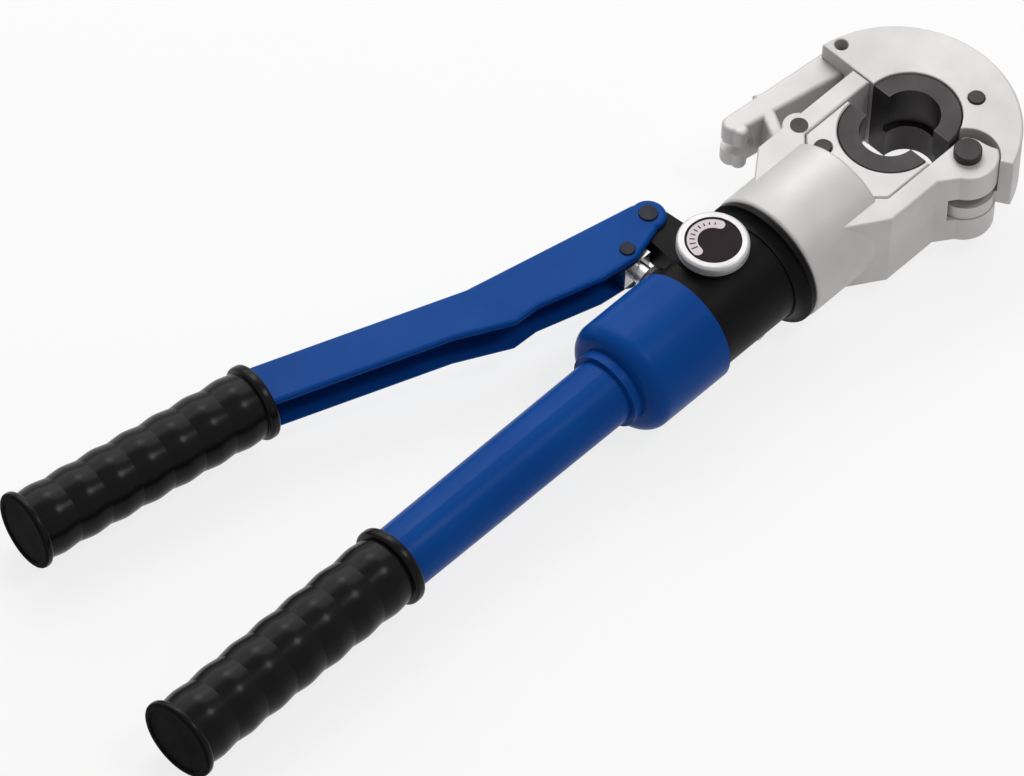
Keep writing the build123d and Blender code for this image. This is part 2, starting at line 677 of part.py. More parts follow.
# Pump body with its handle lug, plunger boss, knob boss and oil galleries

STUB_BACK = BODY_BACK - STUB_LENGTH
NIPPLE_BACK = STUB_BACK - NIPPLE_LENGTH
SEAL_BOTTOM = GLAND_BOSS_TOP - GLAND_THREAD_LENGTH - PLUNGER_SEAL_LENGTH
FILL_Y = -3.0
RETURN_Z = 8.0
STEM_SEAL_Z = 16.0
STEM_SEAL_HEIGHT = 2.4
STEM_SEAL_WIDTH = 2.0


def galleries():
    ports = [
        rod_x(PORT_RADIUS, NIPPLE_BACK, SUCTION_X, 0, SUPPLY_Z),
        rod_z(PORT_RADIUS, VALVE_SEAT_Z, SUPPLY_Z, SUCTION_X, 0),
        rod_x(PORT_RADIUS, PLUNGER_X, SUCTION_X, FILL_Y, LOW_GALLERY_Z),
        rod_z(PORT_RADIUS, LOW_GALLERY_Z, 0, PLUNGER_X, FILL_Y),
        rod_x(PORT_RADIUS, PLUNGER_X, OUTLET_X, OUTLET_Y, 0),
        rod_z(PORT_RADIUS, VALVE_SEAT_Z, 0, OUTLET_X, OUTLET_Y),
        rod_x(PORT_RADIUS, KNOB_X, SPIGOT_FRONT, OUTLET_Y, LOW_GALLERY_Z),
        rod_y(PORT_RADIUS, OUTLET_Y, KNOB_Y, KNOB_X, LOW_GALLERY_Z),
        rod_z(PORT_RADIUS, LOW_GALLERY_Z, STEM_TIP, KNOB_X, KNOB_Y),
        rod_x(PORT_RADIUS, NIPPLE_BACK, KNOB_X, KNOB_Y, RETURN_Z),
        rod_y(RELIEF_PORT_RADIUS, RELIEF_SEAT_Y, OUTLET_Y, RELIEF_X, LOW_GALLERY_Z),
    ]
    return ports


def valve_bores():
    bores = [
        rod_y(RELIEF_BORE_RADIUS, RELIEF_SCREW_TOP, RELIEF_SEAT_Y, RELIEF_X, LOW_GALLERY_Z),
        rod_y(VALVE_BORE_RADIUS + SEAT_FIT, -FAR, RELIEF_SCREW_TOP, RELIEF_X, LOW_GALLERY_Z),
    ]
    for x, y in VALVES:
        bores.append(rod_z(VALVE_BORE_RADIUS, VALVE_PLUG_TOP, VALVE_SEAT_Z, x, y))
        bores.append(rod_z(VALVE_PLUG_RADIUS + SEAT_FIT, -FAR, VALVE_PLUG_TOP, x, y))
    return bores


VALVES = ((SUCTION_X, 0.0), (OUTLET_X, OUTLET_Y))


def handle_lug():
    eye = Pos(PIVOT_X, PIVOT_Y) * Circle(LUG_EYE_RADIUS)
    plate = polygon((PIVOT_X - LUG_ROOT_HALF, 0), (PIVOT_X - LUG_EYE_RADIUS, PIVOT_Y),
                    (PIVOT_X + LUG_EYE_RADIUS, PIVOT_Y), (PIVOT_X + LUG_ROOT_HALF, 0))
    lug = slab(eye + plate, LUG_PLATE_HALF)
    return lug - rod_z(PIVOT_PIN_RADIUS + RUN_FIT, -FAR, FAR, PIVOT_X, PIVOT_Y)


def knob_boss():
    boss = rod_z(BOSS_RADIUS, 0, BOSS_TOP, KNOB_X, KNOB_Y)
    return fillet(boss.faces().sort_by(Axis.Z)[-1].edges(), BOSS_EDGE)


def pump_body():
    body = rod_x(BODY_RADIUS, BODY_BACK, BODY_FRONT)
    body += knob_boss()
    body += rod_x(SPIGOT_RADIUS, BODY_FRONT, SPIGOT_FRONT)
    body += rod_x(STUB_RADIUS, STUB_BACK, BODY_BACK)
    body += rod_x(NIPPLE_RADIUS, NIPPLE_BACK, STUB_BACK)
    body += rod_y(GLAND_BOSS_RADIUS, 0, GLAND_BOSS_TOP, PLUNGER_X)
    body += handle_lug()
    body -= rod_y(PLUNGER_RADIUS + RUN_FIT, CHAMBER_BOTTOM, GLAND_BOSS_TOP, PLUNGER_X)
    body -= rod_y(GLAND_THREAD_RADIUS + SEAT_FIT, SEAL_BOTTOM, GLAND_BOSS_TOP, PLUNGER_X)
    body -= rod_z(STEM_RADIUS + RUN_FIT, STEM_TIP, BOSS_TOP, KNOB_X, KNOB_Y)
    body -= swivel_groove()
    body -= o_ring_groove()
    body -= anchor_shank(SEAT_FIT)
    for cut in galleries() + valve_bores():
        body -= cut
    body -= rod_z(STEM_RADIUS + STEM_SEAL_WIDTH + SEAT_FIT, STEM_SEAL_Z - SEAT_FIT,
                  STEM_SEAL_Z + STEM_SEAL_HEIGHT + SEAT_FIT, KNOB_X, KNOB_Y)
    return body


# Check valves and relief valve

def valve_ball(x, y):
    return Pos(x, y, VALVE_SEAT_Z - VALVE_BALL_RADIUS - SEAT_FIT) * Sphere(VALVE_BALL_RADIUS)


def valve_spring(x, y):
    length = VALVE_SEAT_Z - 2 * VALVE_BALL_RADIUS - 2 * SEAT_FIT - VALVE_PLUG_TOP
    spring = coil(VALVE_BALL_RADIUS - 2 * VALVE_WIRE_RADIUS, VALVE_WIRE_RADIUS, length, VALVE_TURNS)
    return Pos(x, y, VALVE_PLUG_TOP) * spring


def valve_plugs():
    plugs = []
    for x, y in VALVES:
        plug = rod_z(VALVE_PLUG_RADIUS, VALVE_PLUG_TOP - VALVE_PLUG_LENGTH, VALVE_PLUG_TOP, x, y)
        plugs.append(plug - hex_socket(x, y))
    return Compound(children=plugs)


def hex_socket(x, y):
    bottom = VALVE_PLUG_TOP - VALVE_PLUG_LENGTH
    return Pos(x, y, bottom) * extrude(RegularPolygon(VALVE_BALL_RADIUS, 6), amount=VALVE_PLUG_LENGTH / 2)


def relief_ball():
    y = RELIEF_SEAT_Y - RELIEF_BALL_RADIUS - SEAT_FIT
    return Pos(RELIEF_X, y, LOW_GALLERY_Z) * Sphere(RELIEF_BALL_RADIUS)


def relief_spring():
    length = RELIEF_SEAT_Y - 2 * RELIEF_BALL_RADIUS - 2 * SEAT_FIT - RELIEF_SCREW_TOP
    spring = coil(RELIEF_BALL_RADIUS - 2 * VALVE_WIRE_RADIUS, VALVE_WIRE_RADIUS, length, RELIEF_TURNS)
    return Pos(RELIEF_X, RELIEF_SCREW_TOP, LOW_GALLERY_Z) * Rot(-90, 0, 0) * spring


def relief_adjuster():
    bottom = RELIEF_SCREW_TOP - RELIEF_SCREW_LENGTH
    screw = rod_y(VALVE_BORE_RADIUS, bottom, RELIEF_SCREW_TOP, RELIEF_X, LOW_GALLERY_Z)
    slot_half = DRIVER_SLOT_WIDTH / 2
    slot = block(RELIEF_X - FAR, RELIEF_X + FAR, bottom, bottom + DRIVER_SLOT_DEPTH,
                 LOW_GALLERY_Z - slot_half, LOW_GALLERY_Z + slot_half)
    return screw - slot


# Release valve

KNOB_BOTTOM = BOSS_TOP + GAP
KNOB_TOP = KNOB_BOTTOM + KNOB_HEIGHT
FACE_TOP = KNOB_TOP - KNOB_FACE_RECESS
FACE_BOTTOM = FACE_TOP - KNOB_FACE_THICKNESS


def release_knob():
    knob = rod_z(KNOB_RADIUS, KNOB_BOTTOM, KNOB_TOP, KNOB_X, KNOB_Y)
    knob = fillet(knob.edges().filter_by(GeomType.CIRCLE), KNOB_EDGE)
    groove_z = KNOB_BOTTOM + KNOB_GROOVE_Z
    groove_top = groove_z + KNOB_GROOVE_WIDTH
    groove = rod_z(KNOB_RADIUS + GAP, groove_z, groove_top, KNOB_X, KNOB_Y)
    knob -= groove - rod_z(KNOB_RADIUS - KNOB_GROOVE_DEPTH, groove_z, groove_top, KNOB_X, KNOB_Y)
    knob -= rod_z(KNOB_FACE_RADIUS + SEAT_FIT, FACE_BOTTOM, KNOB_TOP, KNOB_X, KNOB_Y)
    return knob - rod_z(STEM_RADIUS + SEAT_FIT, KNOB_BOTTOM, FACE_BOTTOM, KNOB_X, KNOB_Y)


def knob_face():
    return rod_z(KNOB_FACE_RADIUS, FACE_BOTTOM, FACE_TOP, KNOB_X, KNOB_Y)


def knob_scale():
    band = SlotArc(CenterArc((0, 0), SCALE_RADIUS, SCALE_START, SCALE_SWEEP), SCALE_WIDTH)
    return Pos(KNOB_X, KNOB_Y, FACE_TOP) * extrude(band, amount=SCALE_THICKNESS)


def release_stem():
    stem = rod_z(STEM_RADIUS, STEM_SEAT_Z, FACE_BOTTOM, KNOB_X, KNOB_Y)
    tip = Cone(PORT_RADIUS, STEM_RADIUS, STEM_SEAT_Z - STEM_TIP - GAP)
    return stem + Pos(KNOB_X, KNOB_Y, (STEM_SEAT_Z + STEM_TIP + GAP) / 2) * tip


def stem_seal():
    ring = rod_z(STEM_RADIUS + STEM_SEAL_WIDTH, STEM_SEAL_Z, STEM_SEAL_Z + STEM_SEAL_HEIGHT, KNOB_X, KNOB_Y)
    return ring - rod_z(STEM_RADIUS + RUN_FIT, STEM_SEAL_Z, STEM_SEAL_Z + STEM_SEAL_HEIGHT, KNOB_X, KNOB_Y)


# Pump plunger

def plunger():
    half_width = LINK_PIN_RADIUS + LINK_PLAY_X + EYE_WALL
    eye_bottom = LINK_Y - EYE_HALF_HEIGHT
    body = rod_y(PLUNGER_RADIUS, PLUNGER_BOTTOM, LINK_Y, PLUNGER_X)
    body += block(PLUNGER_X - half_width, PLUNGER_X + half_width, eye_bottom, LINK_Y + EYE_HALF_HEIGHT,
                  -EYE_HALF_THICKNESS, EYE_HALF_THICKNESS)
    slot_x = LINK_PIN_RADIUS + LINK_PLAY_X
    slot_y = LINK_PIN_RADIUS + LINK_PLAY_Y
    return body - block(PLUNGER_X - slot_x, PLUNGER_X + slot_x, LINK_Y - slot_y, LINK_Y + slot_y, -FAR, FAR)


def plunger_gland():
    gland = rod_y(GLAND_BOSS_RADIUS - GAP, GLAND_BOSS_TOP, GLAND_BOSS_TOP + GLAND_FLANGE, PLUNGER_X)
    gland += rod_y(GLAND_THREAD_RADIUS, GLAND_BOSS_TOP - GLAND_THREAD_LENGTH, GLAND_BOSS_TOP, PLUNGER_X)
    return gland - rod_y(PLUNGER_RADIUS + RUN_FIT, -FAR, FAR, PLUNGER_X)


def plunger_seal():
    ring = rod_y(GLAND_THREAD_RADIUS, SEAL_BOTTOM, SEAL_BOTTOM + PLUNGER_SEAL_LENGTH, PLUNGER_X)
    return ring - rod_y(PLUNGER_RADIUS + RUN_FIT, -FAR, FAR, PLUNGER_X)


# Moving handle: a folded channel, open towards the fixed handle

def direction(angle):
    """Unit vectors along the handle and square to it, away from the fixed handle."""
    return Vector(-cos(radians(angle)), sin(radians(angle))), Vector(sin(radians(angle)), cos(radians(angle)))


NEAR_ALONG, NEAR_OUT = direction(NEAR_ANGLE)
FAR_ALONG, FAR_OUT = direction(FAR_ANGLE)
PIVOT = Vector(PIVOT_X, PIVOT_Y)
GRIP_MOUTH = Vector(MOVING_GRIP_X, MOVING_GRIP_Y)
EDGE_START = PIVOT + NEAR_OUT * CHEEK_EYE_RADIUS
BEND = EDGE_START + NEAR_ALONG * ((EDGE_START.X - BEND_X) / -NEAR_ALONG.X)
FAR_LENGTH = (GRIP_MOUTH - BEND).dot(FAR_ALONG) + CHANNEL_INSERT


def near_point(along, out):
    return PIVOT + NEAR_ALONG * along + NEAR_OUT * out


def channel_plan():
    far_end = BEND + FAR_ALONG * FAR_LENGTH
    hump_back = BEND + FAR_ALONG * HUMP_BACK - FAR_OUT * CHANNEL_WIDTH
    edge = FilletPolyline(EDGE_START, BEND, far_end, far_end - FAR_OUT * CHANNEL_WIDTH, hump_back,
                          near_point(*CHEEK_HUMP), near_point(*CHEEK_WAIST), near_point(*CHEEK_BELLY),
                          near_point(*CHEEK_ROOT), near_point(0, -CHEEK_EYE_RADIUS),
                          radius=CHEEK_ROUNDING, close=True)
    return make_face(edge) + Pos(PIVOT_X, PIVOT_Y) * Circle(CHEEK_EYE_RADIUS)


def channel_hollow():
    """Plan of the space between the cheeks: all but the web along the outer edge."""
    bisector = (NEAR_OUT + FAR_OUT) * (1 / (1 + NEAR_OUT.dot(FAR_OUT)))
    web_start = EDGE_START + NEAR_ALONG * WEB_START
    inner_bend = BEND - bisector * CHANNEL_WALL
    inner_end = BEND + FAR_ALONG * (FAR_LENGTH + CHANNEL_WALL) - FAR_OUT * CHANNEL_WALL
    return polygon(near_point(-FAR, FAR), web_start + NEAR_OUT * FAR, web_start - NEAR_OUT * CHANNEL_WALL,
                   inner_bend, inner_end, inner_end - FAR_OUT * FAR, near_point(-FAR, -FAR))


def handle_channel():
    body = slab(channel_plan(), CHANNEL_HALF)
    body = fillet(face_edges(body), CHANNEL_EDGE)
    body -= slab(channel_hollow(), CHANNEL_HALF - CHANNEL_WALL)
    body -= rod_z(PIVOT_PIN_RADIUS + SEAT_FIT, -FAR, FAR, PIVOT_X, PIVOT_Y)
    return body - rod_z(LINK_PIN_RADIUS + SEAT_FIT, -FAR, FAR, LINK_X, LINK_Y)


def handle_pivot_pin():
    return Pos(PIVOT_X, PIVOT_Y, 0) * clipped_pin(PIVOT_PIN_RADIUS, CHANNEL_HALF, PIN_PROUD)


def link_pin():
    return Pos(LINK_X, LINK_Y, 0) * clipped_pin(LINK_PIN_RADIUS, CHANNEL_HALF, PIN_PROUD)


def handle_pin_clips():
    pivot_clip = Pos(PIVOT_X, PIVOT_Y, -CHANNEL_HALF) * retaining_clip(PIVOT_PIN_RADIUS)
    link_clip = Pos(LINK_X, LINK_Y, -CHANNEL_HALF) * retaining_clip(LINK_PIN_RADIUS)
    return Compound(children=[pivot_clip, link_clip])


# Grips, in their own frame: the collar's face is at x = 0 and the grip runs towards -X

def grip_shape(length, radius):
    collar = radius + GRIP_COLLAR_PROUD
    flange = radius + GRIP_FLANGE_PROUD
    valley = radius - GRIP_WAVE
    wave_start = -GRIP_COLLAR_WIDTH
    wave_end = -length + GRIP_FLANGE_WIDTH
    pitch = (wave_end - wave_start) / GRIP_WAVES
    edges = [Polyline((0, 0), (0, collar), (wave_start, collar), (wave_start, valley))]
    for wave in range(GRIP_WAVES):
        x = wave_start + wave * pitch
        edges.append(ThreePointArc((x, valley), (x + pitch / 2, radius), (x + pitch, valley)))
    edges.append(Polyline((wave_end, valley), (wave_end, flange), (-length, flange), (-length, 0), (0, 0)))
    shape = revolve(Plane.XZ * make_face(edges), axis=Axis.X)
    circles = shape.edges().filter_by(GeomType.CIRCLE)
    return fillet(circles.filter_by(lambda e: e.radius > radius + GAP), GRIP_EDGE)


FIXED_BORE_END = -FIXED_GRIP_LENGTH + GRIP_END_WALL
MOVING_BORE_END = -MOVING_GRIP_LENGTH + GRIP_END_WALL
MOVING_GRIP = Location((MOVING_GRIP_X, MOVING_GRIP_Y, 0), (0, 0, -MOVING_GRIP_ANGLE))


def fixed_grip():
    bore = rod_x(TUBE_BACK_RADIUS + SEAT_FIT, FIXED_BORE_END, 0)
    return Pos(FIXED_GRIP_X, 0, 0) * (grip_shape(FIXED_GRIP_LENGTH, FIXED_GRIP_RADIUS) - bore)


def moving_grip():
    mouth_half = CHANNEL_WIDTH / 2 + MOUTH_PLAY
    mouth = block(-GRIP_COLLAR_WIDTH, GAP, -mouth_half, mouth_half, -CHANNEL_HALF - GAP, CHANNEL_HALF + GAP)
    bore = rod_x(CORE_RADIUS + SEAT_FIT, MOVING_BORE_END, 0)
    return MOVING_GRIP * (grip_shape(MOVING_GRIP_LENGTH, MOVING_GRIP_RADIUS) - mouth - bore)


def grip_core():
    return MOVING_GRIP * rod_x(CORE_RADIUS, MOVING_BORE_END + GAP, CORE_INSERT - CHANNEL_INSERT)


# Fixed handle

BELL_BACK = BODY_BACK - BELL_LENGTH
BELL_NECK_BACK = BELL_BACK - BELL_NECK_LENGTH
TUBE_FRONT = BELL_NECK_BACK + TUBE_SEAT
TUBE_BACK = FIXED_GRIP_X + FIXED_BORE_END
BELL_BORE = TUBE_FRONT_RADIUS - GAP
BLADDER_BACK = TUBE_BACK + PLUG_LENGTH + BLADDER_END_GAP


def reservoir_bell():
    bell = turned((BODY_BACK, STUB_RADIUS + SEAT_FIT), (BODY_BACK, BELL_RADIUS), (BELL_BACK, BELL_RADIUS),
                  (BELL_BACK, BELL_NECK_RADIUS), (BELL_NECK_BACK, BELL_NECK_RADIUS),
                  (BELL_NECK_BACK, TUBE_FRONT_RADIUS + SEAT_FIT), (TUBE_FRONT, TUBE_FRONT_RADIUS + SEAT_FIT),
                  (TUBE_FRONT, BELL_BORE), (STUB_BACK, BELL_BORE), (STUB_BACK, STUB_RADIUS + SEAT_FIT))
    rims = bell.edges().filter_by(GeomType.CIRCLE).filter_by(lambda e: abs(e.radius - BELL_RADIUS) < GAP)
    step = BELL_RADIUS - BELL_NECK_RADIUS
    return fillet(rims.sort_by(Axis.X)[0], min(BELL_SHOULDER, step - GAP))


def handle_tube():
    return turned((TUBE_FRONT, TUBE_FRONT_RADIUS - TUBE_WALL), (TUBE_FRONT, TUBE_FRONT_RADIUS),
                  (BELL_NECK_BACK, TUBE_FRONT_RADIUS), (FIXED_GRIP_X + GAP, TUBE_MOUTH_RADIUS),
                  (FIXED_GRIP_X + GAP, TUBE_BACK_RADIUS),
                  (TUBE_BACK, TUBE_BACK_RADIUS), (TUBE_BACK, TUBE_BACK_RADIUS - TUBE_WALL),
                  (FIXED_GRIP_X, TUBE_BACK_RADIUS - TUBE_WALL),
                  (BELL_NECK_BACK, TUBE_FRONT_RADIUS - TUBE_WALL))


def oil_bladder():
    inner = NIPPLE_RADIUS + SEAT_FIT
    waist = TUBE_FRONT - NIPPLE_LENGTH / 2
    bag = BLADDER_RADIUS - BLADDER_WALL
    return turned((STUB_BACK, inner), (STUB_BACK, inner + BLADDER_WALL), (NIPPLE_BACK, inner + BLADDER_WALL),
                  (waist, BLADDER_RADIUS), (BLADDER_BACK, BLADDER_RADIUS), (BLADDER_BACK, 0),
                  (BLADDER_BACK + BLADDER_WALL, 0), (BLADDER_BACK + BLADDER_WALL, bag), (waist, bag),
                  (NIPPLE_BACK - BLADDER_WALL, inner))


def tube_plug():
    return rod_x(TUBE_BACK_RADIUS - TUBE_WALL - SEAT_FIT, TUBE_BACK, TUBE_BACK + PLUG_LENGTH)


def suction_strainer():
    cup = rod_x(STRAINER_RADIUS, NIPPLE_BACK - STRAINER_LENGTH, NIPPLE_BACK, 0, SUPPLY_Z)
    return cup - rod_x(PORT_RADIUS, NIPPLE_BACK - STRAINER_LENGTH + STRAINER_WALL, NIPPLE_BACK, 0, SUPPLY_Z)


# Named nodes

PARTS = {
    "pump_body": pump_body(),
    "swivel_collar": swivel_collar(),
    "swivel_retaining_ring": swivel_retaining_ring(),
    "swivel_seal": swivel_seal(),
    "spring_anchor": spring_anchor(),
    "plunger_gland": plunger_gland(),
    "plunger_seal": plunger_seal(),
    "suction_check_ball": valve_ball(*VALVES[0]),
    "suction_check_spring": valve_spring(*VALVES[0]),
    "outlet_check_ball": valve_ball(*VALVES[1]),
    "outlet_check_spring": valve_spring(*VALVES[1]),
    "valve_plugs": valve_plugs(),
    "relief_ball": relief_ball(),
    "relief_spring": relief_spring(),
    "relief_adjuster": relief_adjuster(),
    "stem_seal": stem_seal(),
    "reservoir_bell": reservoir_bell(),
    "handle_tube": handle_tube(),
    "oil_bladder": oil_bladder(),
    "suction_strainer": suction_strainer(),
    "tube_plug": tube_plug(),
    "fixed_grip": fixed_grip(),
    "handle_channel": handle_channel(),
    "handle_pivot_pin": handle_pivot_pin(),
    "link_pin": link_pin(),
    "handle_pin_clips": handle_pin_clips(),
    "grip_core": grip_core(),
    "moving_grip": moving_grip(),
    "plunger": plunger(),
    "release_knob": release_knob(),
    "knob_face": knob_face(),
    "knob_scale": knob_scale(),
    "release_stem": release_stem(),
    "yoke": yoke(),
    "ram_guide_ring": ram_guide_ring(),
    "hinge_pin": hinge_pin(),
    "hinge_pin_clip": hinge_pin_clip(),
    "keeper_pin": keeper_pin(),
    "ram_piston": ram_piston(),
    "piston_seal": piston_seal(),
    "ram_return_spring": ram_return_spring(),
    "die_holder": die_holder(),
    "holder_screw": holder_screw(),
    "lower_die": LOWER * half_die(),
    "lower_die_button": LOWER * die_button(),
    "lower_button_spring": LOWER * button_spring(),
    "cover": cover(),
    "upper_die": UPPER * half_die(),
    "upper_die_button": UPPER * die_button(),
    "upper_button_spring": UPPER * button_spring(),
    "latch_pivot_pin": latch_pivot_pin(),
    "latch_lever": latch_lever(),
}

os.makedirs("parts", exist_ok=True)
for node, shape in PARTS.items():
    export_step(shape, f"parts/{node}.step")
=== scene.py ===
# %% [markdown]
# # A hand-pumped crimping tool
# The solids of the tool come from CAD and stay where they are. This lesson dresses them: it sets up the camera and
# the light, mixes one finish for each real material, and rebuilds in mesh code the pieces that a CAD solid is too
# plain for, such as the moulded rubber grips.

# %% Load the frame
import json
import math

import bmesh
import bpy
from mathutils import Matrix, Vector


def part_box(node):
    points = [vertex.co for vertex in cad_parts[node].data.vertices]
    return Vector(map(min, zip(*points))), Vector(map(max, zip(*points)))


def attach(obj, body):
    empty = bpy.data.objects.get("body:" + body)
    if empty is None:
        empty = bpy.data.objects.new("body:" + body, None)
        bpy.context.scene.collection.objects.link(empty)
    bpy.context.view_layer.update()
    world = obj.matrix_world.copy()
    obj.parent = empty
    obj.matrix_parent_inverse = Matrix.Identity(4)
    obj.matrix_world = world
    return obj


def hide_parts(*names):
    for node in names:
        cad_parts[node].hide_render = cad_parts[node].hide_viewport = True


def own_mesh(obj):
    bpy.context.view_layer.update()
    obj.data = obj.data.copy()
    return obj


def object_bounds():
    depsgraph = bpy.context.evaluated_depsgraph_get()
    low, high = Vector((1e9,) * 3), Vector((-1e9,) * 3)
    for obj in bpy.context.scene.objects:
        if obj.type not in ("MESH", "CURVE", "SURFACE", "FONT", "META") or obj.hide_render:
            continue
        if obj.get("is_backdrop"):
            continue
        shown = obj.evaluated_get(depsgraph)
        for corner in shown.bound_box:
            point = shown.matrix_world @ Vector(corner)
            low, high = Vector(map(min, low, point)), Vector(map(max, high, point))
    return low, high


MM = 0.001
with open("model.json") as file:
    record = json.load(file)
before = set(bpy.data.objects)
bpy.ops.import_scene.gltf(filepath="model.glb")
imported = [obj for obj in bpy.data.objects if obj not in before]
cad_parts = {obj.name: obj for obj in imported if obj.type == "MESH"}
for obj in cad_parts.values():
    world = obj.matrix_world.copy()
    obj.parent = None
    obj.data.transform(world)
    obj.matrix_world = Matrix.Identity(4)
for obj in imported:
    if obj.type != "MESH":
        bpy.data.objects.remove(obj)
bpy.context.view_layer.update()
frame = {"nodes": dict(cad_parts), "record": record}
nodes = frame["nodes"]
scene = bpy.context.scene

# %% [markdown]
# ## Camera
# A product shot is usually taken from far away with a long lens, so that parallel edges stay parallel. A wide lens
# close by could frame the tool as well, but it would swell the near grip. The direction, the roll and the aim below
# were fitted to points of the tool that can be named both in CAD and in the picture.

# %% Camera
VIEW_AZIMUTH = math.radians(-49.162)
VIEW_ELEVATION = math.radians(52.887)
VIEW_ROLL = math.radians(3.585)
VIEW_AIM = Vector((-210.8, 36.05, -13.87)) * MM
VIEW_DISTANCE = 6.0
VIEW_LIMIT = 100.0
LENS = 491.83
SENSOR = 36.0


def view_axes(azimuth, elevation, roll):
    """Right, up and back of a camera that looks down on the scene."""
    back = Vector((math.sin(azimuth) * math.cos(elevation), -math.cos(azimuth) * math.cos(elevation),
                   math.sin(elevation)))
    right = Vector((math.cos(azimuth), math.sin(azimuth), 0))
    up = back.cross(right)
    turned_right = right * math.cos(roll) + up * math.sin(roll)
    return turned_right, back.cross(turned_right), back


right, up, back = view_axes(VIEW_AZIMUTH, VIEW_ELEVATION, VIEW_ROLL)
lens = bpy.data.cameras.new("photo_camera")
lens.lens = LENS
lens.sensor_width = SENSOR
lens.clip_end = VIEW_LIMIT
camera = bpy.data.objects.new("photo_camera", lens)
scene.collection.objects.link(camera)
camera.matrix_world = Matrix.Translation(VIEW_AIM + back * VIEW_DISTANCE) @ Matrix(
    (right, up, back)).transposed().to_4x4()
scene.camera = camera
print("camera at", [round(v, 3) for v in camera.location])

# %% [markdown]
# ## Floor and light
# The tool lies on its thick neck and on the end of the fixed grip, which is thinner, so the surface under it leans a
# little. A pale floor and a large soft lamp above the lever side give the even light of a catalogue picture. Two small
# lamps, one from each side, put a glint on every ring of the grips. Stronger lamps could make the floor white, but
# they would bleach the tool too. So the floor glows where the lens or a polished face looks at it, which keeps its
# shadows faint, and the world is a pale grey there.

# %% Floor
NECK_BOTTOM = Vector((-88.7, 0, -30.8)) * MM
NECK_BELOW_GRIP = 11.4
NECK_TO_GRIP_END = 362.5
FLOOR_LEAN = math.atan2(NECK_BELOW_GRIP, NECK_TO_GRIP_END)
FLOOR_SIZE = 14.0
FLOOR_COLOR = (0.93, 0.93, 0.93, 1)
FLOOR_ROUGHNESS = 0.9
FLOOR_SPECULAR = 0.1
FLOOR_GLOW = 0.8


def add_link(tree, source, target):
    tree.links.new(source, target)


def new_node(tree, kind, **settings):
    node = tree.nodes.new(kind)
    for name, value in settings.items():
        setattr(node, name, value)
    return node


def seen_rays(tree):
    """1 for rays from the lens, a polished face or clear glass, and 0 for the rays that light the scene."""
    path = new_node(tree, "ShaderNodeLightPath")
    either = new_node(tree, "ShaderNodeMath", operation="MAXIMUM")
    add_link(tree, path.outputs["Is Camera Ray"], either.inputs[0])
    add_link(tree, path.outputs["Is Glossy Ray"], either.inputs[1])
    seen = new_node(tree, "ShaderNodeMath", operation="MAXIMUM")
    add_link(tree, either.outputs[0], seen.inputs[0])
    add_link(tree, path.outputs["Is Transmission Ray"], seen.inputs[1])
    return seen.outputs[0]


floor_mesh = bpy.data.meshes.new("floor")
half = FLOOR_SIZE / 2
corners = [(-half, -half, 0), (half, -half, 0), (half, half, 0), (-half, half, 0)]
floor_mesh.from_pydata(corners, [], [(0, 1, 2, 3)])
floor = bpy.data.objects.new("floor", floor_mesh)
scene.collection.objects.link(floor)
floor.matrix_world = Matrix.Translation(NECK_BOTTOM) @ Matrix.Rotation(FLOOR_LEAN, 4, "Y")
floor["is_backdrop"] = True

floor_paint = bpy.data.materials.new("floor_paper")
floor_paint.use_nodes = True
tree = floor_paint.node_tree
shader = tree.nodes["Principled BSDF"]
shader.inputs["Base Color"].default_value = FLOOR_COLOR
shader.inputs["Roughness"].default_value = FLOOR_ROUGHNESS
shader.inputs["Specular IOR Level"].default_value = FLOOR_SPECULAR
glow = new_node(tree, "ShaderNodeEmission")
mix = new_node(tree, "ShaderNodeMixShader")
share = new_node(tree, "ShaderNodeMath", operation="MULTIPLY")
share.inputs[1].default_value = FLOOR_GLOW
add_link(tree, seen_rays(tree), share.inputs[0])
add_link(tree, share.outputs[0], mix.inputs["Fac"])
add_link(tree, shader.outputs[0], mix.inputs[1])
add_link(tree, glow.outputs[0], mix.inputs[2])
add_link(tree, mix.outputs[0], tree.nodes["Material Output"].inputs["Surface"])
floor_mesh.materials.append(floor_paint)
print("floor leans", round(math.degrees(FLOOR_LEAN), 2), "degrees")

# %% Light
WORLD_FILL = 0.28
WORLD_FILL_COLOR = (1, 1, 1, 1)
WORLD_SEEN = 1.0
WORLD_SEEN_COLOR = (0.8, 0.8, 0.8, 1)
GRIPS_MIDDLE = (-0.375, 0.06, 0.0)
LAMPS = {
    "key_lamp": {"at": (0.55, 1.05, 1.15), "aim": (-0.16, 0.03, 0.0), "size": (2.0, 1.6), "power": 19.5},
    "front_spark": {"at": (0.31, -0.62, 1.45), "aim": GRIPS_MIDDLE, "size": (0.40, 0.40), "power": 5.4},
    "back_spark": {"at": (0.43, 0.92, 1.30), "aim": GRIPS_MIDDLE, "size": (0.40, 0.40), "power": 2.8},
}

world = bpy.data.worlds.new("studio")
scene.world = world
world.use_nodes = True
tree = world.node_tree
ambient = tree.nodes["Background"]
ambient.inputs["Color"].default_value = WORLD_FILL_COLOR
ambient.inputs["Strength"].default_value = WORLD_FILL
backdrop = new_node(tree, "ShaderNodeBackground")
backdrop.inputs["Color"].default_value = WORLD_SEEN_COLOR
backdrop.inputs["Strength"].default_value = WORLD_SEEN
mix = new_node(tree, "ShaderNodeMixShader")
add_link(tree, seen_rays(tree), mix.inputs["Fac"])
add_link(tree, ambient.outputs[0], mix.inputs[1])
add_link(tree, backdrop.outputs[0], mix.inputs[2])
add_link(tree, mix.outputs[0], tree.nodes["World Output"].inputs["Surface"])

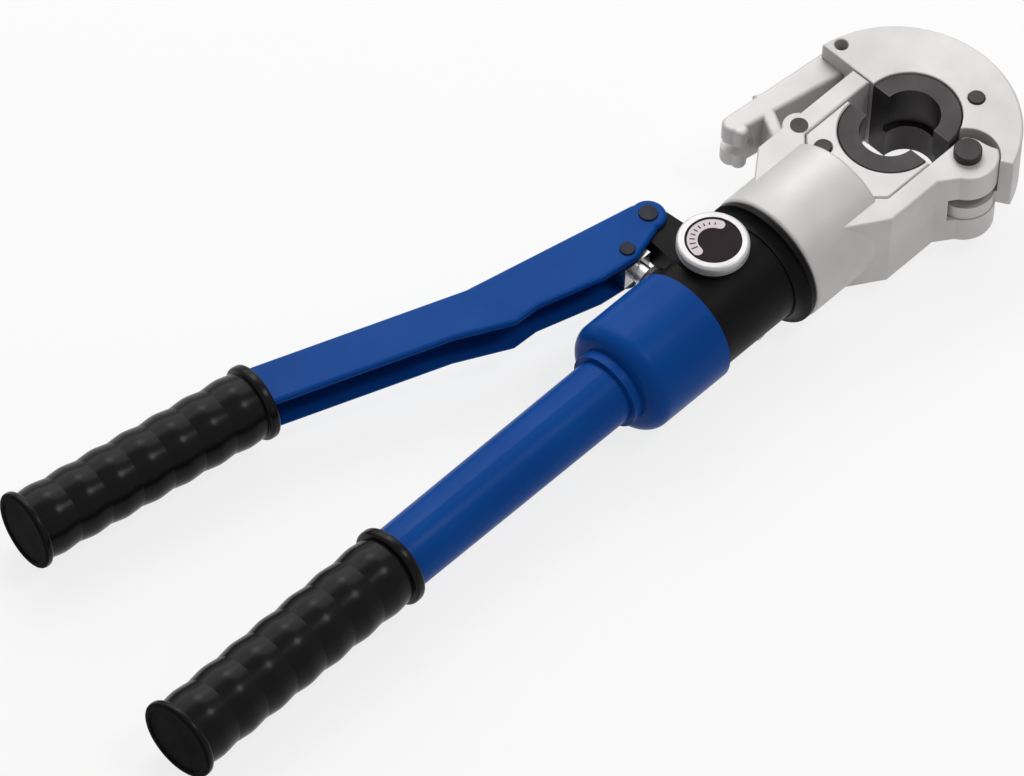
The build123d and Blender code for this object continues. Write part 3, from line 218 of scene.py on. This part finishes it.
for name, facts in LAMPS.items():
    lamp = bpy.data.lights.new(name, "AREA")
    lamp.shape = "RECTANGLE"
    lamp.size, lamp.size_y = facts["size"]
    lamp.energy = facts["power"]
    stand = bpy.data.objects.new(name, lamp)
    scene.collection.objects.link(stand)
    stand.location = facts["at"]
    beam = Vector(facts["aim"]) - Vector(facts["at"])
    stand.rotation_euler = beam.to_track_quat("-Z", "Y").to_euler()
scene.view_settings.view_transform = "Standard"
print("lamps", len(LAMPS))

# %% [markdown]
# ## Shared effects
# Most finishes on a tool share three effects: a slow unevenness of colour and gloss, a fine grain that catches the
# light, and edges that are rubbed bare. They could be drawn anew in every material. Here each effect is a node group
# with named sockets, built once and placed in each material with its own values, so that a change to the effect
# reaches every finish.

# %% Helpers for node groups


def new_group(name, inputs, outputs):
    """An empty shader group with float inputs (name, default) and outputs (name, socket type)."""
    group = bpy.data.node_groups.new(name, "ShaderNodeTree")
    for label, value in inputs:
        socket = group.interface.new_socket(label, in_out="INPUT", socket_type="NodeSocketFloat")
        socket.default_value = value
    for label, kind in outputs:
        group.interface.new_socket(label, in_out="OUTPUT", socket_type=kind)
    return group, new_node(group, "NodeGroupInput"), new_node(group, "NodeGroupOutput")


def object_noise(tree, scale_socket, detail, roughness=0.5):
    """Noise in the piece's own coordinates, so that it moves with the piece."""
    place = new_node(tree, "ShaderNodeTexCoord")
    noise = new_node(tree, "ShaderNodeTexNoise")
    noise.inputs["Detail"].default_value = detail
    noise.inputs["Roughness"].default_value = roughness
    add_link(tree, place.outputs["Object"], noise.inputs["Vector"])
    add_link(tree, scale_socket, noise.inputs["Scale"])
    return noise.outputs["Fac"]


def map_range(tree, source, low, high, to_low=0.0, to_high=1.0):
    node = new_node(tree, "ShaderNodeMapRange")
    add_link(tree, source, node.inputs["Value"])
    values = {"From Min": low, "From Max": high, "To Min": to_low, "To Max": to_high}
    for label, value in values.items():
        node.inputs[label].default_value = value
    return node.outputs["Result"]


def math_node(tree, operation, a, b):
    node = new_node(tree, "ShaderNodeMath", operation=operation)
    for socket, value in zip(node.inputs, (a, b)):
        if hasattr(value, "is_linked"):
            add_link(tree, value, socket)
        else:
            socket.default_value = value
    return node.outputs[0]


print("helpers", [f.__name__ for f in (new_group, object_noise, map_range, math_node)])

# %% Node groups
PATCH_RANGE = (0.3, 0.7)
COARSE_SCALE = 0.22
EDGE_RANGE = (0.99, 0.86)
BREAKUP_RANGE = (0.38, 0.62)


def build_unevenness():
    """Slow patches, from 0 to 1, for colour and gloss."""
    group, given, made = new_group("unevenness", [("Scale", 40.0)], [("Mask", "NodeSocketFloat")])
    patches = object_noise(group, given.outputs["Scale"], detail=4.0, roughness=0.6)
    add_link(group, map_range(group, patches, *PATCH_RANGE), made.inputs["Mask"])
    return group


def build_grain():
    """Fine relief from two sizes of noise, for a Bump node."""
    group, given, made = new_group("grain", [("Scale", 900.0), ("Coarse Share", 0.4)],
                                   [("Height", "NodeSocketFloat")])
    fine = object_noise(group, given.outputs["Scale"], detail=3.0)
    coarse_scale = math_node(group, "MULTIPLY", given.outputs["Scale"], COARSE_SCALE)
    coarse = object_noise(group, coarse_scale, detail=2.0)
    weighted = math_node(group, "MULTIPLY", coarse, given.outputs["Coarse Share"])
    add_link(group, math_node(group, "ADD", fine, weighted), made.inputs["Height"])
    return group


def build_rubbed_edges():
    """1 along outer edges, broken up by noise. A rounded normal differs from the true one only near an edge."""
    inputs = [("Radius", 0.0008), ("Breakup Scale", 220.0), ("Amount", 1.0)]
    group, given, made = new_group("rubbed_edges", inputs, [("Mask", "NodeSocketFloat")])
    rounded = new_node(group, "ShaderNodeBevel", samples=4)
    add_link(group, given.outputs["Radius"], rounded.inputs["Radius"])
    true = new_node(group, "ShaderNodeNewGeometry")
    dot = new_node(group, "ShaderNodeVectorMath", operation="DOT_PRODUCT")
    add_link(group, rounded.outputs["Normal"], dot.inputs[0])
    add_link(group, true.outputs["Normal"], dot.inputs[1])
    edge = map_range(group, dot.outputs["Value"], *EDGE_RANGE)
    breakup = object_noise(group, given.outputs["Breakup Scale"], detail=4.0, roughness=0.65)
    broken = map_range(group, breakup, *BREAKUP_RANGE)
    both = math_node(group, "MULTIPLY", edge, broken)
    add_link(group, math_node(group, "MULTIPLY", both, given.outputs["Amount"]), made.inputs["Mask"])
    return group


UNEVENNESS = build_unevenness()
GRAIN = build_grain()
RUBBED_EDGES = build_rubbed_edges()
print("groups", [g.name for g in bpy.data.node_groups])

# %% [markdown]
# ## Finishes
# Every finish is one Principled shader. A picture wrapped round each piece could vary it, but it would need unwrapped
# faces and would blur close up. Noise from nodes stays sharp and fits any shape. What is the same all over is set on
# the shader's own sockets, and what changes over the surface comes from the groups: two colours mixed by the uneven
# patches, a third along rubbed edges, gloss that wanders a little, and a shallow relief.

# %% A maker of finishes


def place_group(tree, group, **values):
    node = new_node(tree, "ShaderNodeGroup")
    node.node_tree = group
    for label, value in values.items():
        node.inputs[label.replace("_", " ")].default_value = value
    return node


def mix_color(tree, fac, a, b):
    node = new_node(tree, "ShaderNodeMix", data_type="RGBA")
    add_link(tree, fac, node.inputs["Factor"])
    colors = [s for s in node.inputs if s.type == "RGBA"]
    for socket, value in zip(colors, (a, b)):
        if hasattr(value, "is_linked"):
            add_link(tree, value, socket)
        else:
            socket.default_value = (*value, 1)
    return [s for s in node.outputs if s.type == "RGBA"][0]


def finish(name, light, dark, rough, rough_swing=0.06, metal=0.0, patch_scale=40.0,
           grain_scale=900.0, relief=0.00003, coarse=0.4,
           edge_color=None, edge_radius=0.0008, edge_amount=0.6, **shader_values):
    """A material with uneven colour and gloss, fine relief and, if a colour is given, rubbed edges."""
    material = bpy.data.materials.new(name)
    material.use_nodes = True
    tree = material.node_tree
    shader = tree.nodes["Principled BSDF"]
    shader.inputs["Metallic"].default_value = metal
    for label, value in shader_values.items():
        shader.inputs[label.replace("_", " ")].default_value = value
    patches = place_group(tree, UNEVENNESS, Scale=patch_scale).outputs["Mask"]
    color = mix_color(tree, patches, light, dark)
    gloss = map_range(tree, patches, 0.0, 1.0, rough - rough_swing, rough + rough_swing)
    if edge_color:
        edges = place_group(tree, RUBBED_EDGES, Radius=edge_radius, Amount=edge_amount).outputs["Mask"]
        color = mix_color(tree, edges, color, edge_color)
    add_link(tree, color, shader.inputs["Base Color"])
    add_link(tree, gloss, shader.inputs["Roughness"])
    height = place_group(tree, GRAIN, Scale=grain_scale, Coarse_Share=coarse).outputs["Height"]
    bump = new_node(tree, "ShaderNodeBump")
    bump.inputs["Strength"].default_value = 1.0
    bump.inputs["Distance"].default_value = relief
    add_link(tree, height, bump.inputs["Height"])
    add_link(tree, bump.outputs["Normal"], shader.inputs["Normal"])
    return material


print("helpers", [f.__name__ for f in (place_group, mix_color, finish)])

# %% [markdown]
# ## Paint, steel and rubber
# The tool has four main kinds of finish. The handles and the pump body are painted, the head is a satin forging, the
# dies and pins are blackened or ground steel, and the grips are rubber. One surface in several colours could stand for
# them all, but a finish is told by its gloss as much as by its colour. So each row below gives the lighter and the
# darker tone of the patches first, then the gloss, then what sets that finish apart.

# %% Finishes of the tool
FINISHES = {
    "blue_paint": finish(
        "blue_enamel", light=(0.004, 0.071, 0.325), dark=(0.003, 0.057, 0.28), rough=0.32, patch_scale=18.0,
        grain_scale=420.0, relief=0.000025, edge_color=(0.014, 0.10, 0.37), edge_amount=0.35,
        Specular_IOR_Level=0.05),
    "black_paint": finish(
        "black_enamel", light=(0.0062, 0.0058, 0.0058), dark=(0.0042, 0.0038, 0.0038), rough=0.42, patch_scale=26.0,
        grain_scale=500.0, edge_color=(0.014, 0.0135, 0.013), edge_amount=0.4, Specular_IOR_Level=0.07),
    "cast_head": finish(
        "satin_forging", light=(0.59, 0.574, 0.57), dark=(0.53, 0.516, 0.512), rough=0.54, metal=0.35,
        patch_scale=30.0, grain_scale=1300.0, relief=0.000035, coarse=0.7, edge_color=(0.70, 0.69, 0.685)),
    "die_steel": finish(
        "blackened_steel", light=(0.048, 0.043, 0.045), dark=(0.036, 0.033, 0.0345), rough=0.45, metal=0.75,
        patch_scale=60.0, grain_scale=1600.0, relief=0.00002, edge_color=(0.13, 0.12, 0.12), edge_radius=0.0005,
        Specular_IOR_Level=0.2),
    "bright_steel": finish(
        "ground_steel", light=(0.48, 0.48, 0.49), dark=(0.40, 0.40, 0.41), rough=0.28, metal=1.0, patch_scale=80.0,
        grain_scale=2000.0, relief=0.00001),
    "bright_ring": finish(
        "bright_ring", light=(0.56, 0.552, 0.55), dark=(0.51, 0.502, 0.50), rough=0.36, metal=0.4, patch_scale=70.0,
        grain_scale=2600.0, relief=0.00001, edge_color=(0.68, 0.67, 0.67), edge_amount=0.4, Specular_IOR_Level=0.3),
    "bronze": finish(
        "turned_bronze", light=(0.42, 0.27, 0.11), dark=(0.34, 0.21, 0.08), rough=0.34, metal=1.0, patch_scale=90.0),
    "grip_rubber": finish(
        "grip_rubber", light=(0.0072, 0.0066, 0.0066), dark=(0.0052, 0.0048, 0.0048), rough=0.23, rough_swing=0.015,
        patch_scale=60.0, grain_scale=1500.0, relief=0.000006, coarse=0.6, Specular_IOR_Level=0.1),
    "seal_rubber": finish(
        "seal_rubber", light=(0.02, 0.02, 0.02), dark=(0.014, 0.014, 0.014), rough=0.55),
    "dark_face": finish(
        "dark_disc", light=(0.017, 0.0085, 0.0115), dark=(0.012, 0.006, 0.0085), rough=0.42, patch_scale=120.0,
        Specular_IOR_Level=0.08),
    "white_mark": finish(
        "printed_band", light=(0.78, 0.69, 0.72), dark=(0.73, 0.64, 0.67), rough=0.5, patch_scale=200.0,
        relief=0.00001, Specular_IOR_Level=0.2),
}
END_RUBBER = finish(
    "matte_end_rubber", light=(0.0085, 0.008, 0.008), dark=(0.0062, 0.0058, 0.0058), rough=0.7, patch_scale=90.0,
    grain_scale=1100.0, relief=0.00005, coarse=0.6, Specular_IOR_Level=0.03)
PIN_FINISH = finish(
    "blued_pin", light=(0.022, 0.023, 0.030), dark=(0.015, 0.016, 0.021), rough=0.46, metal=0.7, patch_scale=120.0,
    grain_scale=1600.0, relief=0.00002, Specular_IOR_Level=0.1)
print("finishes", len(FINISHES))

# %% Finishes on the solids
LEVER_PINS = ("handle_pivot_pin", "link_pin", "handle_pin_clips")
for row in frame["record"]["subparts"]:
    mesh = nodes[row["node"]].data
    mesh.materials.clear()
    mesh.materials.append(PIN_FINISH if row["node"] in LEVER_PINS else FINISHES[row["material_slot"]])

# %% [markdown]
# ## Rubber grips
# The grips are mouldings pushed over the handle ends: a bead at the mouth, a body of soft rings that the fingers can
# feel, and a thin flange that keeps the hand on. A bump on a plain cylinder could suggest the rings, but it would
# leave the outline straight. All of it is round about one axis, so a half section is worked out along the grip and
# spun. Each ring has a rounded crest and straighter flanks that meet the next ring in a narrow valley, so that it
# catches a small lamp once, on its crest.

# %% Sizes of both grips
GRIPS = {
    "fixed_grip_rubber": {"node": "fixed_grip", "body": "pump", "mouth": (-321.2, 0.0), "angle": 0.0,
                          "length": 132.0, "crest": 17.2, "bead": 18.8, "flange": 19.2},
    "moving_grip_rubber": {"node": "moving_grip", "body": "handle", "mouth": (-300.4, 101.1), "angle": -9.9,
                           "length": 123.0, "crest": 16.3, "bead": 17.5, "flange": 18.0},
}
RING_COUNT = 7
RING_HEIGHT = 0.9
RING_MARGIN = 0.2
CREST_ROUND = 0.25
BEAD_WIDTH = 5.2
FLANGE_WIDTH = 4.0
for name, facts in GRIPS.items():
    rings_length = facts["length"] - BEAD_WIDTH - FLANGE_WIDTH - 2 * RING_MARGIN
    print(name, "has a ring every", round(rings_length / RING_COUNT, 1), "mm")

# %% Collars and rings
CORNER_STEPS = 6
STEPS_PER_RING = 24
SOFT_EDGE = 1.9


def round_edge(x0, r0, x1, r1, x2, r2):
    """Points that turn from the side (x0, r0) round the corner (x1, r1) to the side (x2, r2)."""
    points = []
    for i in range(CORNER_STEPS + 1):
        t = i / CORNER_STEPS
        x = (1 - t) ** 2 * x0 + 2 * t * (1 - t) * x1 + t * t * x2
        r = (1 - t) ** 2 * r0 + 2 * t * (1 - t) * r1 + t * t * r2
        points.append((x, r))
    return points


def collar_section(x, width, top, foot):
    """A rounded collar from x to x + width, standing from the radius foot to the radius top."""
    low = max(top - SOFT_EDGE, foot)
    front = round_edge(x, low, x, top, x + SOFT_EDGE, top)
    back = round_edge(x + width - SOFT_EDGE, top, x + width, top, x + width, low)
    return front + back


def ring_section(first, last, valley):
    """The rings between two places along the grip."""
    deepest = math.hypot(1, CREST_ROUND) - CREST_ROUND
    points = []
    for i in range(RING_COUNT * STEPS_PER_RING + 1):
        t = i / STEPS_PER_RING
        from_crest = 2 * (t - math.floor(t)) - 1
        drop = (math.hypot(from_crest, CREST_ROUND) - CREST_ROUND) / deepest
        points.append((first + (last - first) * t / RING_COUNT, valley + RING_HEIGHT * (1 - drop)))
    return points


print("points on the rings", RING_COUNT * STEPS_PER_RING + 1)

# %% Grip section
MOUTH_HOLE = 13.0
MOUTH_DEPTH = 1.5
MOUTH_BEVEL = 0.5
END_RIM = 2.6
END_DISH = 0.7
FACE_START = 0.2
FACE_MIDDLE = 2.0
FACE_END = 3.0


def grip_section(length, crest, bead, flange):
    """(x, radius) from the hole at the mouth to the middle of the end face, in millimetres."""
    valley = crest - RING_HEIGHT
    flange_x = length - FLANGE_WIDTH
    face_x = length - END_DISH
    rim = flange - END_RIM
    dish = rim - END_DISH
    points = [(MOUTH_DEPTH, MOUTH_HOLE), (0, MOUTH_HOLE + MOUTH_BEVEL)]
    points += collar_section(0, BEAD_WIDTH, bead, valley)
    points += ring_section(BEAD_WIDTH + RING_MARGIN, flange_x - RING_MARGIN, valley)
    points += collar_section(flange_x, FLANGE_WIDTH, flange, valley)
    points += round_edge(length, rim, length, dish, face_x, dish)
    points += round_edge(face_x, dish - FACE_START, face_x, rim - FACE_MIDDLE, face_x, rim - FACE_END)
    return points


sections = {}
for name, facts in GRIPS.items():
    sections[name] = grip_section(facts["length"], facts["crest"], facts["bead"], facts["flange"])
    print(name, "points", len(sections[name]), "largest radius", max(r for x, r in sections[name]))

# %% Spinning the section
GRIP_SEGMENTS = 128
END_DEPTH = 0.9


def grip_mesh(name, section):
    """The section spun about the grip's own axis, from the mouth at the origin along -X. Its valleys stay sharp."""
    mesh = bpy.data.meshes.new(name)
    bm = bmesh.new()
    rings = []
    for x, radius in section:
        ring = []
        for k in range(GRIP_SEGMENTS):
            angle = 2 * math.pi * k / GRIP_SEGMENTS
            ring.append(bm.verts.new((-x * MM, -radius * math.sin(angle) * MM, radius * math.cos(angle) * MM)))
        rings.append(ring)
    for a, b in zip(rings, rings[1:]):
        for k in range(GRIP_SEGMENTS):
            n = (k + 1) % GRIP_SEGMENTS
            bm.faces.new((a[k], b[k], b[n], a[n]))
    radii = [radius for x, radius in section]
    for i in range(1, len(radii) - 1):
        if radii[i] < min(radii[i - 1], radii[i + 1]):
            for k in range(GRIP_SEGMENTS):
                n = (k + 1) % GRIP_SEGMENTS
                bm.edges.get((rings[i][k], rings[i][n])).smooth = False
    bm.faces.new(rings[0])
    bm.faces.new(list(reversed(rings[-1])))
    bmesh.ops.recalc_face_normals(bm, faces=bm.faces)
    end_x = min(v.co.x for v in bm.verts)
    for face in bm.faces:
        face.smooth = True
        face.material_index = int(face.calc_center_median().x < end_x + END_DEPTH * MM)
    bm.to_mesh(mesh)
    bm.free()
    mesh.materials.append(FINISHES["grip_rubber"])
    mesh.materials.append(END_RUBBER)
    return mesh


print("faces round each grip", GRIP_SEGMENTS)

# %% Both grips
for name, facts in GRIPS.items():
    grip = bpy.data.objects.new(name, grip_mesh(name, sections[name]))
    scene.collection.objects.link(grip)
    x, y = facts["mouth"]
    turn = Matrix.Rotation(math.radians(facts["angle"]), 4, "Z")
    grip.matrix_world = Matrix.Translation(Vector((x, y, 0)) * MM) @ turn
    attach(grip, facts["body"])
    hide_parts(facts["node"])
    print(name, "faces", len(grip.data.polygons))

# %% [markdown]
# ## Ticks on the release knob
# The pale band on the knob shows which way to turn it to let the pressure go. A band of one even colour would look
# unfinished, so a few dark ticks are laid on it. The band's material could draw them, but thin bars keep a crisp edge
# at any distance. Each bar has its edges rounded by a bevel, and the bars grow longer along the band, so that the
# direction can be read at a glance.

# %% Knob ticks
TICK_COUNT = 9
TICK_FIRST = 38.0
TICK_LAST = 162.0
TICK_ARC = 9.1
TICK_SHORT = 1.1
TICK_LONG = 2.9
TICK_WIDTH = 0.55
TICK_HEIGHT = 0.12
TICK_ROUNDING = 0.3
TICK_STEPS = 2

band_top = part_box("knob_scale")[1][2]
knob_low, knob_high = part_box("release_knob")
knob_middle = (Vector(knob_low) + Vector(knob_high)) / 2
bm = bmesh.new()
for i in range(TICK_COUNT):
    share = i / (TICK_COUNT - 1)
    angle = math.radians(TICK_FIRST + (TICK_LAST - TICK_FIRST) * share)
    size = Vector((TICK_SHORT + (TICK_LONG - TICK_SHORT) * share, TICK_WIDTH, TICK_HEIGHT)) * MM
    centre = Matrix.Translation((knob_middle.x, knob_middle.y, band_top + size.z / 2))
    place = centre @ Matrix.Rotation(angle, 4, "Z") @ Matrix.Translation((TICK_ARC * MM, 0, 0))
    bar = bmesh.ops.create_cube(bm, size=1.0, matrix=place @ Matrix.Diagonal((*size, 1)))
    rim = [e for v in bar["verts"] for e in v.link_edges]
    rounding = TICK_HEIGHT * TICK_ROUNDING * MM
    bmesh.ops.bevel(bm, geom=list(set(rim)), offset=rounding, segments=TICK_STEPS, affect="EDGES")
tick_mesh = bpy.data.meshes.new("knob_ticks")
bm.to_mesh(tick_mesh)
bm.free()
tick_mesh.materials.append(FINISHES["dark_face"])
ticks = bpy.data.objects.new("knob_ticks", tick_mesh)
scene.collection.objects.link(ticks)
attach(ticks, "knob")
print("ticks", TICK_COUNT, "faces", len(tick_mesh.polygons))

# %% [markdown]
# ## Springs under the die buttons
# Each button that holds a half die stands on a small coil spring in a blind well. The spring has to get shorter when
# the button is pressed, which a rigid solid can't do, so a coil of wire with a mesh of its own takes its place. Its
# end turns lie close together, as they do on a real spring that is ground flat.

# %% A coil of wire
SPRING_TURNS = 5
SPRING_SIDES = 12
STEPS_PER_TURN = 40
WIRE_SHARE = 0.13
END_CLOSING = 0.85


def coil_mesh(name, low, high):
    """A coil of round wire that fills the box from low to high, upright."""
    middle = (Vector(low) + Vector(high)) / 2
    outer = (high[0] - low[0]) / 2
    wire = outer * WIRE_SHARE
    mean = outer - wire
    rise = high[2] - low[2] - 2 * wire
    bm = bmesh.new()
    rings = []
    steps = SPRING_TURNS * STEPS_PER_TURN
    for i in range(steps + 1):
        u = i / steps
        turn = 2 * math.pi * SPRING_TURNS * u
        height = rise * (u - END_CLOSING * math.sin(2 * math.pi * u) / (2 * math.pi))
        outward = Vector((math.cos(turn), math.sin(turn), 0))
        centre = Vector((middle.x, middle.y, low[2] + wire + height)) + outward * mean
        ring = []
        for k in range(SPRING_SIDES):
            angle = 2 * math.pi * k / SPRING_SIDES
            lift = Vector((0, 0, wire * math.sin(angle)))
            ring.append(bm.verts.new(centre + outward * wire * math.cos(angle) + lift))
        rings.append(ring)
    for a, b in zip(rings, rings[1:]):
        for k in range(SPRING_SIDES):
            n = (k + 1) % SPRING_SIDES
            bm.faces.new((a[k], a[n], b[n], b[k]))
    bm.faces.new(rings[0])
    bm.faces.new(list(reversed(rings[-1])))
    bmesh.ops.recalc_face_normals(bm, faces=bm.faces)
    for face in bm.faces:
        face.smooth = len(face.verts) == 4
    mesh = bpy.data.meshes.new(name)
    bm.to_mesh(mesh)
    bm.free()
    mesh.materials.append(FINISHES["bright_steel"])
    return mesh


print("steps along each coil", SPRING_TURNS * STEPS_PER_TURN)

# %% Both springs
SPRINGS = {"upper_button": "cover", "lower_button": "ram"}
for button, carrier in SPRINGS.items():
    node = button + "_spring"
    low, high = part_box(node)
    coil = bpy.data.objects.new(button + "_coil", coil_mesh(button + "_coil", low, high))
    scene.collection.objects.link(coil)
    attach(coil, carrier)
    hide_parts(node)
    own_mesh(coil)
    print(coil.name, "length", round(high[2] - low[2], 4))

# %% [markdown]
# ## Measure
# The dressed tool should stay in the box of its solids, so the box of the dressed tool is measured and printed.

# %% Boxes
low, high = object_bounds()
print("visual box", [round(v, 4) for v in (*low, *high)])
